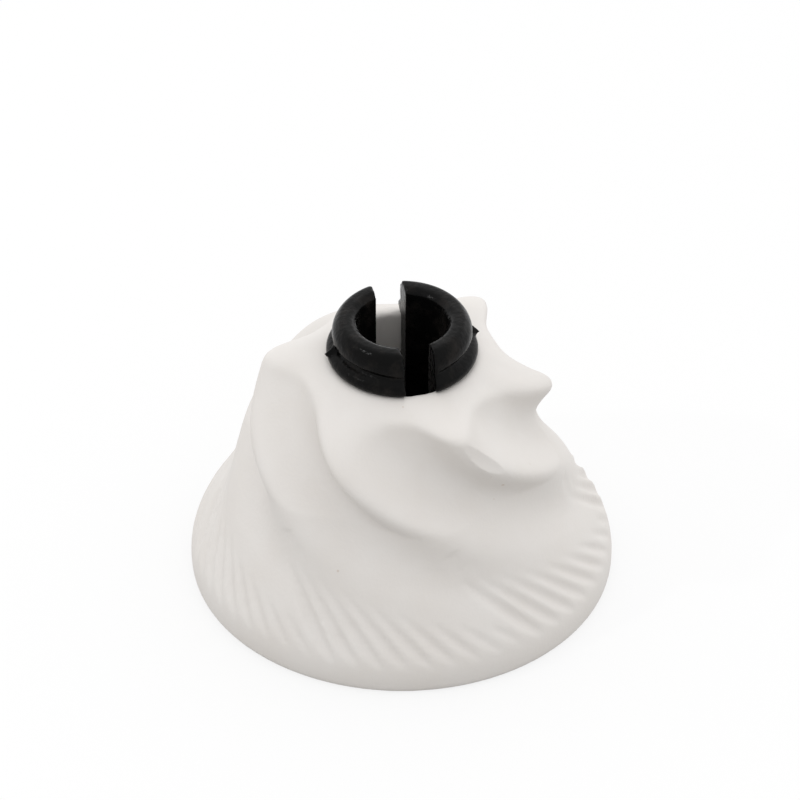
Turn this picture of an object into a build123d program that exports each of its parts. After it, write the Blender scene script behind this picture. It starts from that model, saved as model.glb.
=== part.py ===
from build123d import *
import os
from math import cos, radians, sin, sqrt

os.makedirs("parts", exist_ok=True)

# Driving dimensions in millimetres, angles in degrees.
# The origin is the middle of the foot, +Z is the shaft axis and points at the sleeve's free end.

# Ceramic cone: the skirt and its foot
base_diameter = 38.0
cone_height = 22.9
rim_height = 1.5
rim_chamfer = 0.35
neck_radius = 8.6
shoulder_softness = 0.15
waist_hollow = 0.135

# Ceramic cone: the spiral lobes
lobe_count = 6
lobe_rise = 3.3
lobe_foot_height = 6.0
lobe_full_height = 18.7
lobe_start_angle = 290.0
lobe_turn = 185.0
lobe_turn_power = 1.75
lobe_sharpness_top = 0.66
lobe_sharpness_foot = -0.69

# Ceramic cone: the crown that falls from the sleeve to the noses of the lobes, high and low by turns
crown_flat_radius = 6.9
crown_lead = 4.0
crown_lead_swing = 2.2
crown_blend = 3.0
crown_depth = 4.2

# Ceramic cone: the fine slanted teeth
teeth_per_lobe = 9
tooth_first_angle = 312.1
tooth_top_height = 10.5
tooth_top_lowest = 5.5
tooth_top_fall = 1.2
tooth_foot_height = 2.4
tooth_slant = 3.7
tooth_lean = 32.0
tooth_gap_width = 1.3
tooth_gap_depth = 0.45
tooth_gap_sink = 0.08
tooth_gap_clear = 1.8
tooth_gap_overrun = 1.5

# Ceramic cone: the seat of the sleeve
seat_bore_radius = 5.9
recess_radius = 9.0
recess_flat_distance = 7.4
recess_depth = 3.0

# Plastic sleeve: tube, flange, collar and bead
sleeve_clearance = 0.05
shaft_bore_radius = 4.0
flange_thickness = 2.4
collar_radius = 6.66
collar_foot_radius = 6.3
collar_widest = 0.55
collar_height = 1.4
bead_radius = 6.15
bead_height = 2.5
sleeve_rise = 3.95
top_face_radius = 5.4
top_round = 0.2
top_chamfer = 0.45

# Plastic sleeve: the slot across it, and the grooves that run out before the slot
slot_width = 2.7
slot_angle = 285.0
slot_floor_height = 9.0
catch_groove_radius = 6.3
catch_groove_shift = 0.7
catch_groove_height = 1.75
catch_groove_width = 0.5
catch_groove_mouth = 1.1

# Plastic sleeve: moulding flash where the two halves of its tool met
flash_sink = 0.25
flash_reach = 0.4
flash_thickness = 0.35
flash_foot = 0.5
flash_tip = 1.1
flash_head = 2.1

# How finely the lobed outline is drawn
points_per_lobe = 10
crown_sections = 8
crown_section_power = 2.0
body_sections = 8

base_radius = base_diameter / 2
lobe_pitch = 360 / lobe_count
tooth_pitch = lobe_pitch / teeth_per_lobe
sleeve_top = cone_height + sleeve_rise


def polar(radius, angle, height):
    """Point at a radius and an angle about the shaft axis."""
    return Vector(radius * cos(radians(angle)), radius * sin(radians(angle)), height)


def floor_radius(height):
    """Radius of the cone in the valleys between the lobes."""
    climb = max(0.0, (height - rim_height) / (cone_height - rim_height))
    bend = sqrt(climb**2 + shoulder_softness**2) - shoulder_softness
    lean = bend / (sqrt(1 + shoulder_softness**2) - shoulder_softness)
    hollow = waist_hollow * 4 * lean * (1 - lean)
    return base_radius - (base_radius - neck_radius) * (lean + hollow)


def lobe_height_share(height):
    """How far the lobes have grown out of the skirt at this height, from 0 to 1."""
    share = (height - lobe_foot_height) / (lobe_full_height - lobe_foot_height)
    share = min(1.0, max(0.0, share))
    return share * share * (3 - 2 * share)


def crest_angle(height):
    """Angle of the first lobe's crest, which winds faster towards the foot."""
    return lobe_start_angle + lobe_turn * (1 - height / cone_height) ** lobe_turn_power


def cone_radius(height, from_crest, nose):
    """Radius of the lobed cone at an angle away from a crest, whose nose is high (1) or low (-1)."""
    wave = radians(lobe_count * from_crest)
    climb = height / cone_height
    sharpness = lobe_sharpness_top * climb + lobe_sharpness_foot * (1 - climb)
    swell = 0.5 + 0.5 * cos(wave + sharpness * sin(wave))
    side = floor_radius(height) + lobe_rise * lobe_height_share(height) * swell
    lead = crown_lead + nose * crown_lead_swing * cos(wave / 2)
    crown = crown_flat_radius + lead * (cone_height - height)
    # A soft minimum of side and crown rounds the noses of the lobes.
    overlap = max(0.0, crown_blend - abs(side - crown))
    return min(side, crown) - overlap**2 / (4 * crown_blend)


def skirt_point(height, angle, depth):
    """Point at a depth under the skin below the noses, at an angle about the shaft axis."""
    from_crest = (angle - crest_angle(height) + lobe_pitch / 2) % lobe_pitch - lobe_pitch / 2
    return polar(cone_radius(height, from_crest, 1) - depth, angle, height)


def lobe_outline(height, crest, nose):
    """One lobe's outline from valley to valley, square to the radius at both ends."""
    half_pitch = lobe_pitch / 2
    shares = [step / points_per_lobe for step in range(points_per_lobe + 1)]
    offsets = [half_pitch * (2 * share - 1) for share in shares]
    points = [polar(cone_radius(height, offset, nose), crest + offset, height) for offset in offsets]
    tangents = [polar(1, crest + offset + 90, 0) for offset in (-half_pitch, half_pitch)]
    return Edge.make_spline(points, tangents=tangents, parameters=shares)


def lobed_section(height):
    """Closed outline of the cone at one height, with one curve for each lobe."""
    first = crest_angle(height)
    lobes = [lobe_outline(height, first + lobe_pitch * step, (-1) ** step) for step in range(lobe_count)]
    return Face(Wire(lobes))


def section_heights():
    """Heights of the outlines, closer and closer together on the crown where the skin turns over."""
    crown_start = cone_height - crown_depth
    rim = [0.0, rim_height / 2, rim_height]
    body_step = (crown_start - rim_height) / body_sections
    body = [rim_height + body_step * (step + 1) for step in range(body_sections)]
    left = [1 - (step + 1) / crown_sections for step in range(crown_sections)]
    crown = [cone_height - crown_depth * share**crown_section_power for share in left]
    return rim + body + crown


def tooth_gap(number):
    """Straight vee cutter of one of a lobe's gaps, which start lower the further they are from the first."""
    still_high = (1 - number / (teeth_per_lobe - 1)) ** tooth_top_fall
    top_height = tooth_top_lowest + (tooth_top_height - tooth_top_lowest) * still_high
    turn = tooth_slant * (top_height - tooth_foot_height)
    foot_angle = tooth_first_angle + tooth_pitch * number
    top = skirt_point(top_height, foot_angle - turn, tooth_gap_sink)
    foot = skirt_point(tooth_foot_height, foot_angle, tooth_gap_sink)
    along = (foot - top).normalized()
    normal = polar(cos(radians(tooth_lean)), foot_angle - turn / 2, sin(radians(tooth_lean)))
    outward = normal - along * normal.dot(along)
    start = top - along * tooth_gap_overrun
    half = tooth_gap_width / 2
    vee = [(half, tooth_gap_depth), (0, 0), (-half, tooth_gap_depth)]
    outline = Polyline(*vee, (-half, tooth_gap_clear), (half, tooth_gap_clear), close=True)
    plane = Plane(origin=start, x_dir=outward.cross(along), z_dir=along)
    return extrude(plane * make_face(outline), (foot - start).length + tooth_gap_overrun)


def rim_bevel():
    """Ring cutter that breaks the sharp edge of the foot at 45 degrees."""
    inner = base_radius - 2 * rim_chamfer
    outer = base_radius + rim_chamfer
    section = Polyline((inner, -rim_chamfer), (outer, -rim_chamfer), (outer, 2 * rim_chamfer), close=True)
    return revolve(Plane.XZ * make_face(section))


def drive_outline(clearance):
    """Round with two flats, which turns the cone with the sleeve."""
    return Circle(recess_radius - clearance) & Rectangle(2 * (recess_flat_distance - clearance), 2 * recess_radius)


def make_cone():
    """White ceramic cone: lobed skin, fine teeth, bore and the recess under the foot."""
    body = loft([lobed_section(height) for height in section_heights()])
    lobe_gaps = [tooth_gap(number) for number in range(teeth_per_lobe)]
    gaps = [Rot(0, 0, lobe_pitch * step) * gap for gap in lobe_gaps for step in range(lobe_count)]
    bore = extrude(Circle(seat_bore_radius), cone_height)
    recess = extrude(Rot(0, 0, slot_angle) * drive_outline(0), recess_depth)
    return body.cut(*gaps, bore, recess, rim_bevel())


def sleeve_half_section():
    """Half section of the sleeve from its foot up to the free end, radius along X and height along Y."""
    tube_radius = seat_bore_radius - sleeve_clearance
    foot = recess_depth - flange_thickness
    collar_top = cone_height + collar_height
    bead = cone_height + bead_height
    wall = Polyline((shaft_bore_radius, foot), (tube_radius, foot), (tube_radius, cone_height),
                    (collar_foot_radius, cone_height))
    collar = ThreePointArc((collar_foot_radius, cone_height), (collar_radius, cone_height + collar_widest),
                           (bead_radius, collar_top))
    land = Line((bead_radius, collar_top), (bead_radius, bead))
    middle = ((bead_radius + top_face_radius) / 2 + top_round, (bead + sleeve_top) / 2)
    shoulder = ThreePointArc((bead_radius, bead), middle, (top_face_radius, sleeve_top))
    mouth = Polyline((top_face_radius, sleeve_top), (shaft_bore_radius + top_chamfer, sleeve_top),
                     (shaft_bore_radius, sleeve_top - top_chamfer), (shaft_bore_radius, foot))
    return make_face([wall, collar, land, shoulder, mouth])


def catch_groove():
    """Ring whose bore is off centre, so that it cuts one half of the sleeve and runs out at the slot."""
    outer = collar_radius + flash_reach
    middle = cone_height + catch_groove_height
    inner_half = catch_groove_width / 2
    outer_half = catch_groove_mouth / 2
    section = Polyline((catch_groove_radius, middle - inner_half), (outer + catch_groove_shift, middle - outer_half),
                       (outer + catch_groove_shift, middle + outer_half), (catch_groove_radius, middle + inner_half),
                       close=True)
    return Pos(-catch_groove_shift, 0, 0) * revolve(Plane.XZ * make_face(section))


def flash_fin():
    """Thin ragged fin left on the parting line, between the collar and the bead."""
    root = catch_groove_radius - catch_groove_shift - flash_sink
    outline = Polyline((root, cone_height + flash_foot), (collar_radius + flash_reach, cone_height + flash_tip),
                       (bead_radius, cone_height + flash_head), (root, cone_height + flash_head), close=True)
    return extrude(Plane.XZ * make_face(outline), flash_thickness / 2, both=True)


def make_sleeve():
    """Black moulded sleeve: flanged tube with a collar and a bead, split by one slot across it."""
    tube = revolve(Plane.XZ * sleeve_half_section())
    flange = extrude(drive_outline(sleeve_clearance) - Circle(shaft_bore_radius), flange_thickness)
    body = tube + Pos(0, 0, recess_depth - flange_thickness) * flange
    for half in (90, -90):
        body = body - Rot(0, 0, half) * catch_groove() + Rot(0, 0, half) * flash_fin()
    slot_height = sleeve_top - slot_floor_height
    slot = Box(4 * collar_radius, slot_width, slot_height, align=(Align.CENTER, Align.CENTER, Align.MIN))
    body = body - Pos(0, 0, slot_floor_height) * slot
    return Rot(0, 0, slot_angle) * body


pieces = {
    "grinding_cone": make_cone(),
    "drive_sleeve": make_sleeve(),
}
for name, piece in pieces.items():
    piece.label = name
    export_step(piece, f"parts/{name}.step")
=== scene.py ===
"""Grinder burr: a fired ceramic cone on its split black plastic sleeve, on a plain white stage."""

import math

import bpy
from bpy.props import FloatProperty, FloatVectorProperty, IntProperty, PointerProperty
from mathutils import Matrix, Vector


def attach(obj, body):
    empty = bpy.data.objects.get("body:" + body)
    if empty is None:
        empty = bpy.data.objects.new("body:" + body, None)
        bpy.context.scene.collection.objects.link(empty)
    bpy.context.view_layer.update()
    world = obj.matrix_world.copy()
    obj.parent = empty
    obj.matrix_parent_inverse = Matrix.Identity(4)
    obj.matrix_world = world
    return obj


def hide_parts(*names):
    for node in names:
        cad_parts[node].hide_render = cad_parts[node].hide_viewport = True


bl_info = {
    "name": "Grinder Burr",
    "version": (1, 0, 0),
    "blender": (4, 5, 0),
    "location": "View3D > Sidebar > Burr",
    "description": "Fired ceramic cone and moulded plastic sleeve of a grinder burr, with their stage",
    "category": "Object",
}

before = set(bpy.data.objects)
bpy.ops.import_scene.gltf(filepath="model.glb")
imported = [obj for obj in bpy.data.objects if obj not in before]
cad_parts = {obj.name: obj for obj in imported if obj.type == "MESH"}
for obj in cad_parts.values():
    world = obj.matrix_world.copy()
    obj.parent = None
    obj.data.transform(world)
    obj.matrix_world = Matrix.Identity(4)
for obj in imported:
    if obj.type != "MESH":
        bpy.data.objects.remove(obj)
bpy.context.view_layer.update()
MM = 0.001
BODY = "root"

# Mesh work: gap that joins loose triangles, and share of the way that a round of smoothing moves a point
JOIN_GAP = 0.0005 * MM
SOFTEN_SHARE = 0.5

# Camera: picture side in pixels, sensor in millimetres, and how far it sees in metres
PICTURE_SIDE = 800
SENSOR_WIDTH = 36.0
CAMERA_REACH = 100

# How the two materials bend light
CERAMIC_IOR = 1.6
PLASTIC_IOR = 1.48

# Levels of the scuff noise between which the scuffs fade in, and the roughness runs from low to high
SCUFF_LEVELS = (0.5, 0.75)
WEAR_LEVELS = (0.3, 0.7)

# Fineness of the egg shape that presses the dent
DENT_SEGMENTS = 48
DENT_RINGS = 24

# Dent under the front nose: its two ends in millimetres, and the way that the skin faces there
DENT_START = (5.1, -11.1, 21.0)
DENT_END = (7.0, -10.8, 19.3)
DENT_NORMAL = (0.6, -0.75, 0.3)

# Brown specks in the ceramic: place in millimetres, then strength from 0 to 1
SPECKS = (
    (8.79, -9.41, 15.74, 0.8),
    (7.78, -10.73, 18.58, 0.35),
    (7.71, -10.46, 17.48, 0.4),
    (11.17, -7.35, 16.43, 0.4),
    (8.04, -9.18, 13.98, 0.4),
    (-5.51, -14.13, 9.91, 0.6),
    (0.09, -7.4, 22.73, 0.5),
)


def linear(hex_colour):
    """Linear RGBA of an sRGB hex colour."""
    parts = [int(hex_colour[i:i + 2], 16) / 255 for i in (1, 3, 5)]
    return tuple(p / 12.92 if p <= 0.04045 else ((p + 0.055) / 1.055) ** 2.4 for p in parts) + (1.0,)


def colour(name, description, hex_colour):
    """Colour property with an sRGB default."""
    return FloatVectorProperty(name=name, description=description, default=linear(hex_colour),
                               subtype="COLOR", size=4, min=0, max=1)


def length(name, description, millimetres):
    """Length property with a default in millimetres."""
    return FloatProperty(name=name, description=description, default=millimetres * MM,
                         unit="LENGTH", precision=5)


def angle(name, description, degrees):
    """Angle property with a default in degrees."""
    return FloatProperty(name=name, description=description, default=math.radians(degrees), subtype="ANGLE")


def share(name, description, value):
    """Property that runs from 0 to 1."""
    return FloatProperty(name=name, description=description, default=value, min=0, max=1, subtype="FACTOR")


def rounds(name, description, count):
    """Property that counts rounds of smoothing."""
    return IntProperty(name=name, description=description, default=count, min=0, max=40)


class CeramicConeSettings(bpy.types.PropertyGroup):
    """Sizes and colours of the ceramic cone."""

    pitch: length("Mesh pitch", "Spacing of the cone's mesh", 0.255)
    softening: rounds("Softening", "Rounds of smoothing that soften the pressed edges", 3)
    turn_start: length("Turn start", "Height where the lobes start to lead the plain spiral", 9.0)
    turn_full: length("Turn full", "Height where the lobes lead the plain spiral most", 13.5)
    turn_angle: angle("Turn", "How far the lobes lead the plain spiral there", 13)
    turn_left: angle("Turn left", "How far the lobes lead it at the crown", 2)
    dent_length: length("Dent length", "Length of the egg shape that presses the dent", 13.0)
    dent_width: length("Dent width", "Width of the egg shape that presses the dent", 5.5)
    dent_depth: length("Dent depth", "How far the dent goes in", 0.04)
    body_colour: colour("Body", "Colour of the fired body", "#D3D0CD")
    cloud_colour: colour("Clouds", "Colour of the faint clouds in the body", "#CCC7C2")
    speck_colour: colour("Specks", "Colour of the few brown specks", "#A98F78")
    cloud_size: length("Cloud size", "Width of the clouds in the body", 5.0)
    speck_size: length("Speck size", "Width of the largest speck", 0.5)
    grain_size: length("Grain size", "Width of the sintered grains, drawn coarser than they are", 0.3)
    grain_height: length("Grain height", "Height of the sintered grains", 0.012)
    roughness: share("Roughness", "Roughness of the unglazed body", 0.55)


class DriveSleeveSettings(bpy.types.PropertyGroup):
    """Sizes and colours of the plastic sleeve."""

    pitch: length("Mesh pitch", "Spacing of the sleeve's mesh", 0.165)
    softening: rounds("Softening", "Rounds of smoothing that soften the moulded edges", 3)
    body_colour: colour("Body", "Colour of the black plastic", "#080808")
    scuff_colour: colour("Scuffs", "Colour of the scuffed plastic", "#1E1B19")
    scuff_size: length("Scuff size", "Width of the scuffed patches", 1.6)
    peel_size: length("Peel size", "Width of the moulded surface's waves", 0.45)
    peel_height: length("Peel height", "Height of the moulded surface's waves", 0.05)
    gloss: share("Gloss", "Strength of the reflections on the moulded skin", 0.075)
    roughness: share("Roughness", "Roughness of the moulded skin", 0.13)
    smoother: share("Smoother", "How much less rough the skin is where it is least worn", 0.06)
    rougher: share("Rougher", "How much rougher the skin is where it is most worn", 0.14)


class StageSettings(bpy.types.PropertyGroup):
    """Floor, light and camera."""

    floor_side: length("Floor side", "Side of the square floor", 3000)
    floor_colour: colour("Floor", "Colour of the floor as the object sees it", "#BCBBB9")
    floor_shown: colour("Floor as shown", "Share of the light on the floor that the camera sees", "#6C6C6C")
    floor_lift: share("Floor lift", "White added where the camera sees the floor", 0.8)
    surround: FloatProperty(name="Surround", description="Strength of the white surround", default=1.22,
                            min=0, max=2)
    lean: FloatVectorProperty(name="Lean", size=3, default=(0.12, 0.32, 0.09),
                              description="How much brighter the surround is right, behind and above")
    spark_power: FloatProperty(name="Spark", description="Power of the small lamp on the left",
                               default=0.22, min=0, unit="POWER")
    spark_place: FloatVectorProperty(name="Spark place", description="Where the small lamp stands", size=3,
                                     default=(-0.355, -0.12, 0.305), subtype="TRANSLATION", unit="LENGTH")
    spark_side: length("Spark side", "Side of the small square lamp", 20)
    spark_aim: length("Spark aim", "Height on the shaft axis that the small lamp points at", 12)
    elevation: angle("Elevation", "Camera's height above the horizon", 39.9)
    roll: angle("Roll", "Camera's turn about its own axis", 0.15)
    distance: length("Distance", "From the camera to the middle of the foot", 400)
    pixels_per_mm: FloatProperty(name="Scale", description="Picture pixels for a millimetre at the foot",
                                 default=11.02, min=1)
    foot_across: FloatProperty(name="Foot across", default=402.5,
                               description="Pixels from the picture's left to the middle of the foot")
    foot_down: FloatProperty(name="Foot down", default=554.3,
                             description="Pixels from the picture's top to the middle of the foot")


def add_node(tree, kind, inputs, **options):
    """Add a node, set its options, and set or link its inputs."""
    node = tree.nodes.new(kind)
    for option, value in options.items():
        setattr(node, option, value)
    for key, value in inputs.items():
        if isinstance(value, bpy.types.NodeSocket):
            tree.links.new(value, node.inputs[key])
        else:
            node.inputs[key].default_value = value
    return node


def noise(tree, place, size, detail, roughness=0.5):
    """Noise with blobs of about the given size."""
    node = add_node(tree, "ShaderNodeTexNoise",
                    {"Vector": place, "Scale": 1 / size, "Detail": detail, "Roughness": roughness})
    return node.outputs[0]


def mix_colours(tree, amount, first, second):
    """First colour, going over to the second as the amount rises."""
    node = add_node(tree, "ShaderNodeMix", {0: amount, 6: first, 7: second}, data_type="RGBA")
    return node.outputs[2]


def carry_over(tree, value, low, high, new_low, new_high):
    """Value carried from one range to another, and held at its ends."""
    node = add_node(tree, "ShaderNodeMapRange", {0: value, 1: low, 2: high, 3: new_low, 4: new_high})
    return node.outputs[0]


def combine(tree, operation, first, second):
    """Two numbers put together by a named operation."""
    node = add_node(tree, "ShaderNodeMath", {0: first, 1: second}, operation=operation)
    return node.outputs[0]


def new_material(name):
    """Empty node material, and its node tree."""
    material = bpy.data.materials.new(name)
    material.use_nodes = True
    material.node_tree.nodes.clear()
    return material, material.node_tree


def fired_ceramic(look):
    """Pressed and fired alumina, unglazed.

    It is a matt warm white with faint clouds, a fine grain and the few brown specks that show on the front.
    """
    material, tree = new_material("fired_ceramic")
    place = add_node(tree, "ShaderNodeTexCoord", {}).outputs["Object"]
    clouds = noise(tree, place, look.cloud_size, detail=3.0)
    body = mix_colours(tree, clouds, look.body_colour, look.cloud_colour)
    speckled = 0.0
    for across, deep, high, strength in SPECKS:
        spot = Vector((across, deep, high)) * MM
        gap = add_node(tree, "ShaderNodeVectorMath", {0: place, 1: spot}, operation="DISTANCE")
        edge = look.speck_size * strength / 2
        shown = carry_over(tree, gap.outputs["Value"], 0.0, edge, strength, 0.0)
        speckled = combine(tree, "MAXIMUM", shown, speckled)
    skin = mix_colours(tree, speckled, body, look.speck_colour)
    grain = noise(tree, place, look.grain_size, detail=2.0)
    bump = add_node(tree, "ShaderNodeBump", {"Height": grain, "Distance": look.grain_height})
    shader = add_node(tree, "ShaderNodeBsdfPrincipled",
                      {"Base Color": skin, "Roughness": look.roughness, "IOR": CERAMIC_IOR,
                       "Normal": bump.outputs[0]})
    add_node(tree, "ShaderNodeOutputMaterial", {"Surface": shader.outputs[0]})
    return material


def moulded_acetal(look):
    """Black acetal, injection moulded.

    It is near black with a satin skin, soft waves from the tool and greyer scuffed patches.
    """
    material, tree = new_material("moulded_acetal")
    place = add_node(tree, "ShaderNodeTexCoord", {}).outputs["Object"]
    scuffs = noise(tree, place, look.scuff_size, detail=6.0, roughness=0.65)
    scuffed = carry_over(tree, scuffs, *SCUFF_LEVELS, 0.0, 1.0)
    skin = mix_colours(tree, scuffed, look.body_colour, look.scuff_colour)
    smoothest = look.roughness - look.smoother
    roughest = look.roughness + look.rougher
    rough = carry_over(tree, scuffs, *WEAR_LEVELS, smoothest, roughest)
    peel = noise(tree, place, look.peel_size, detail=3.0)
    bump = add_node(tree, "ShaderNodeBump", {"Height": peel, "Distance": look.peel_height})
    shader = add_node(tree, "ShaderNodeBsdfPrincipled",
                      {"Base Color": skin, "Roughness": rough, "IOR": PLASTIC_IOR,
                       "Specular IOR Level": look.gloss, "Normal": bump.outputs[0]})
    add_node(tree, "ShaderNodeOutputMaterial", {"Surface": shader.outputs[0]})
    return material


def seen_directly(tree):
    """1 where the camera, a reflection or a see-through ray looks, and 0 for all other light."""
    path = add_node(tree, "ShaderNodeLightPath", {})
    either = combine(tree, "MAXIMUM", path.outputs["Is Camera Ray"], path.outputs["Is Glossy Ray"])
    return combine(tree, "MAXIMUM", either, path.outputs["Is Transmission Ray"])


def white_paper(look):
    """Matt white paper sweep, which the camera sees as white apart from the object's soft shadow."""
    material, tree = new_material("white_paper")
    seen = seen_directly(tree)
    paper = mix_colours(tree, seen, look.floor_colour, look.floor_shown)
    lift = combine(tree, "MULTIPLY", seen, look.floor_lift)
    shader = add_node(tree, "ShaderNodeBsdfPrincipled",
                      {"Base Color": paper, "Roughness": 1.0, "Specular IOR Level": 0.0,
                       "Emission Color": (1.0, 1.0, 1.0, 1.0), "Emission Strength": lift})
    add_node(tree, "ShaderNodeOutputMaterial", {"Surface": shader.outputs[0]})
    return material


def copy_node(node, name):
    """Copy of a CAD node's mesh with its loose triangles joined, alone selected and active."""
    bpy.ops.object.select_all(action="DESELECT")
    piece = bpy.data.objects.new(name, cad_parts[node].data.copy())
    bpy.context.scene.collection.objects.link(piece)
    piece.data.materials.clear()
    piece.select_set(True)
    bpy.context.view_layer.objects.active = piece
    bpy.ops.object.mode_set(mode="EDIT")
    bpy.ops.mesh.select_all(action="SELECT")
    bpy.ops.mesh.remove_doubles(threshold=JOIN_GAP)
    bpy.ops.object.mode_set(mode="OBJECT")
    return piece


def top_of(piece):
    """Height of a piece's top."""
    return max(corner[2] for corner in piece.bound_box)


def even_out(piece, look):
    """Give a piece an even mesh."""
    remesh = piece.modifiers.new("even_mesh", "REMESH")
    remesh.mode = "VOXEL"
    remesh.voxel_size = look.pitch
    bpy.ops.object.modifier_apply(modifier=remesh.name)


def turn_above(piece, start, full, turn):
    """Turn a piece about the shaft axis from one height on, by the whole turn from another height on."""
    pivot = bpy.data.objects.new("turn_pivot", None)
    pivot.location = (0, 0, start)
    bpy.context.scene.collection.objects.link(pivot)
    bpy.context.view_layer.update()
    twist = piece.modifiers.new("turn", "SIMPLE_DEFORM")
    twist.deform_method = "TWIST"
    twist.deform_axis = "Z"
    twist.origin = pivot
    twist.angle = turn
    twist.limits = (start / top_of(piece), full / top_of(piece))
    bpy.ops.object.modifier_apply(modifier=twist.name)
    bpy.data.objects.remove(pivot)


def press_dent(piece, look):
    """Press the shallow dent under the front nose."""
    along = Vector(DENT_END) - Vector(DENT_START)
    inward = -Vector(DENT_NORMAL).normalized()
    side = inward.cross(along).normalized()
    lift = look.dent_width / 2 - look.dent_depth
    middle = (Vector(DENT_START) + Vector(DENT_END)) / 2 * MM - inward * lift
    bpy.ops.object.select_all(action="DESELECT")
    bpy.ops.mesh.primitive_uv_sphere_add(segments=DENT_SEGMENTS, ring_count=DENT_RINGS, radius=1)
    tool = bpy.context.object
    tool.scale = (look.dent_length / 2, look.dent_width / 2, look.dent_width / 2)
    tool.location = middle
    tool.rotation_euler = Matrix((side.cross(inward), side, inward)).transposed().to_euler()
    bpy.context.view_layer.objects.active = piece
    press = piece.modifiers.new("dent", "BOOLEAN")
    press.operation = "DIFFERENCE"
    press.object = tool
    bpy.ops.object.modifier_apply(modifier=press.name)
    bpy.data.objects.remove(tool)
    piece.select_set(True)


def soften(piece, look):
    """Round the edges of a piece as the pressing or moulding tool leaves them."""
    smooth = piece.modifiers.new("soft_edges", "SMOOTH")
    smooth.factor = SOFTEN_SHARE
    smooth.iterations = look.softening
    bpy.ops.object.modifier_apply(modifier=smooth.name)
    bpy.ops.object.shade_smooth()


def hand_over(piece, node, material):
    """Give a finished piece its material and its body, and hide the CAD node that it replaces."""
    piece.data.materials.append(material)
    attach(piece, BODY)
    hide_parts(node)


class BURR_OT_ceramic_cone(bpy.types.Operator):
    """Dress the grinding cone as fired ceramic with soft pressed edges"""

    bl_idname = "burr.ceramic_cone"
    bl_label = "Ceramic Cone"

    def execute(self, context):
        look = context.scene.burr_cone
        piece = copy_node("grinding_cone", "ceramic_cone")
        even_out(piece, look)
        turn_above(piece, look.turn_start, look.turn_full, look.turn_angle)
        turn_above(piece, look.turn_full, top_of(piece), look.turn_left - look.turn_angle)
        press_dent(piece, look)
        soften(piece, look)
        hand_over(piece, "grinding_cone", fired_ceramic(look))
        return {"FINISHED"}


class BURR_OT_plastic_sleeve(bpy.types.Operator):
    """Dress the drive sleeve as moulded black plastic"""

    bl_idname = "burr.plastic_sleeve"
    bl_label = "Plastic Sleeve"

    def execute(self, context):
        look = context.scene.burr_sleeve
        piece = copy_node("drive_sleeve", "plastic_sleeve")
        even_out(piece, look)
        soften(piece, look)
        hand_over(piece, "drive_sleeve", moulded_acetal(look))
        return {"FINISHED"}


def add_lamp(name, place, aim, side, power):
    """Square soft lamp at a place, turned towards a point."""
    lamp = bpy.data.lights.new(name, "AREA")
    lamp.size = side
    lamp.energy = power
    holder = bpy.data.objects.new(name, lamp)
    holder.location = place
    holder.rotation_euler = (Vector(aim) - Vector(place)).to_track_quat("-Z", "Y").to_euler()
    bpy.context.scene.collection.objects.link(holder)


def add_camera(look):
    """Long-lens camera that sees the middle of the foot at the chosen place in the picture."""
    focal = look.pixels_per_mm * look.distance / MM
    away = Vector((0, -math.cos(look.elevation), math.sin(look.elevation)))
    lowered = math.atan2(look.foot_down - PICTURE_SIDE / 2, focal)
    aside = math.atan2(look.foot_across - PICTURE_SIDE / 2, focal)
    tilt = look.elevation - lowered
    turn = Matrix.Rotation(aside, 4, "Z") @ Matrix.Rotation(math.pi / 2 - tilt, 4, "X")
    camera = bpy.data.cameras.new("camera")
    camera.sensor_width = SENSOR_WIDTH
    camera.lens = focal * SENSOR_WIDTH / PICTURE_SIDE
    camera.clip_end = CAMERA_REACH
    holder = bpy.data.objects.new("camera", camera)
    bpy.context.scene.collection.objects.link(holder)
    place = Matrix.Translation(away * look.distance)
    holder.matrix_world = place @ turn @ Matrix.Rotation(look.roll, 4, "Z")
    bpy.context.scene.camera = holder


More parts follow.
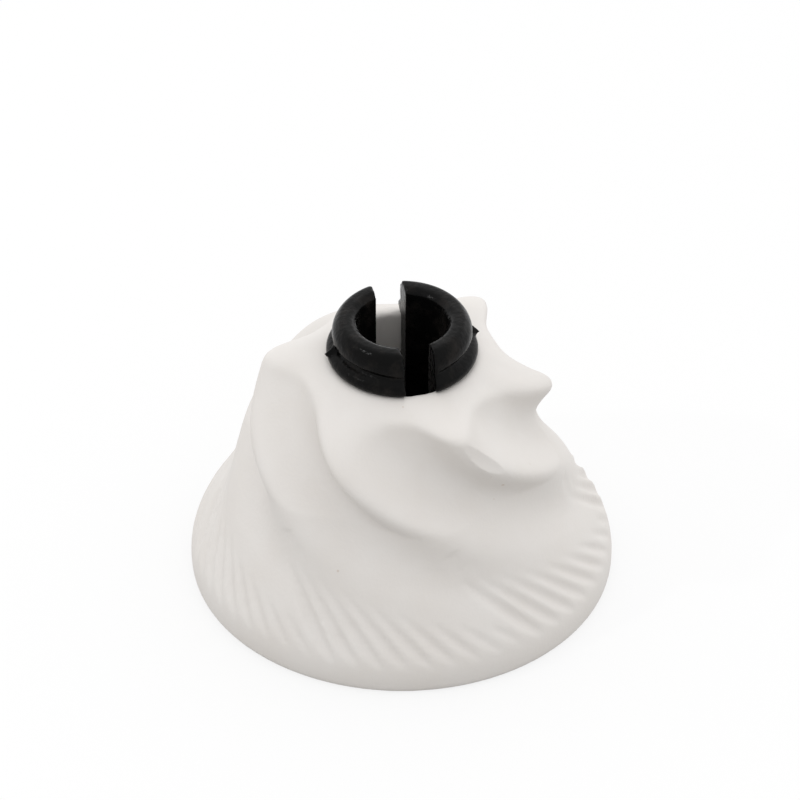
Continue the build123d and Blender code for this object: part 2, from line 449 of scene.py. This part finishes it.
def add_surround(look):
    """White studio round the object, brighter behind it; the camera sees it as plain white."""
    world = bpy.data.worlds.new("white_surround")
    world.use_nodes = True
    tree = world.node_tree
    tree.nodes.clear()
    towards = add_node(tree, "ShaderNodeTexCoord", {}).outputs["Generated"]
    lean = add_node(tree, "ShaderNodeVectorMath", {0: towards, 1: look.lean}, operation="DOT_PRODUCT")
    lit = combine(tree, "ADD", lean.outputs["Value"], look.surround)
    path = add_node(tree, "ShaderNodeLightPath", {})
    strength = carry_over(tree, path.outputs["Is Camera Ray"], 0.0, 1.0, lit, 1.0)
    glow = add_node(tree, "ShaderNodeBackground", {"Color": (1, 1, 1, 1), "Strength": strength})
    add_node(tree, "ShaderNodeOutputWorld", {"Surface": glow.outputs[0]})
    bpy.context.scene.world = world


class BURR_OT_stage(bpy.types.Operator):
    """Set the burr on a white floor with soft studio light and the camera"""

    bl_idname = "burr.stage"
    bl_label = "Stage"

    def execute(self, context):
        look = context.scene.burr_stage
        bpy.ops.object.select_all(action="DESELECT")
        bpy.ops.mesh.primitive_plane_add(size=look.floor_side)
        floor = context.object
        floor.name = "floor"
        floor.data.materials.append(white_paper(look))
        aim = (0, 0, look.spark_aim)
        add_lamp("spark_lamp", look.spark_place, aim, look.spark_side, look.spark_power)
        add_surround(look)
        add_camera(look)
        context.scene.view_settings.view_transform = "Standard"
        return {"FINISHED"}


class BURR_PT_sidebar(bpy.types.Panel):
    """Settings and steps of the burr"""

    bl_idname = "BURR_PT_sidebar"
    bl_label = "Grinder Burr"
    bl_space_type = "VIEW_3D"
    bl_region_type = "UI"
    bl_category = "Burr"

    def draw(self, context):
        for group, operator in STEPS:
            settings = getattr(context.scene, group)
            box = self.layout.box()
            for name in settings.bl_rna.properties.keys():
                if name not in ("rna_type", "name"):
                    box.prop(settings, name)
            box.operator(operator)


STEPS = (
    ("burr_cone", BURR_OT_ceramic_cone.bl_idname),
    ("burr_sleeve", BURR_OT_plastic_sleeve.bl_idname),
    ("burr_stage", BURR_OT_stage.bl_idname),
)
SETTINGS = {
    "burr_cone": CeramicConeSettings,
    "burr_sleeve": DriveSleeveSettings,
    "burr_stage": StageSettings,
}
CLASSES = (
    *SETTINGS.values(), BURR_OT_ceramic_cone, BURR_OT_plastic_sleeve, BURR_OT_stage, BURR_PT_sidebar,
)


def register():
    for item in CLASSES:
        bpy.utils.register_class(item)
    for name, group in SETTINGS.items():
        setattr(bpy.types.Scene, name, PointerProperty(type=group))


def unregister():
    for name in SETTINGS:
        delattr(bpy.types.Scene, name)
    for item in reversed(CLASSES):
        bpy.utils.unregister_class(item)


def main():
    register()
    bpy.ops.burr.ceramic_cone()
    bpy.ops.burr.plastic_sleeve()
    bpy.ops.burr.stage()


if __name__ == "__main__":
    main()
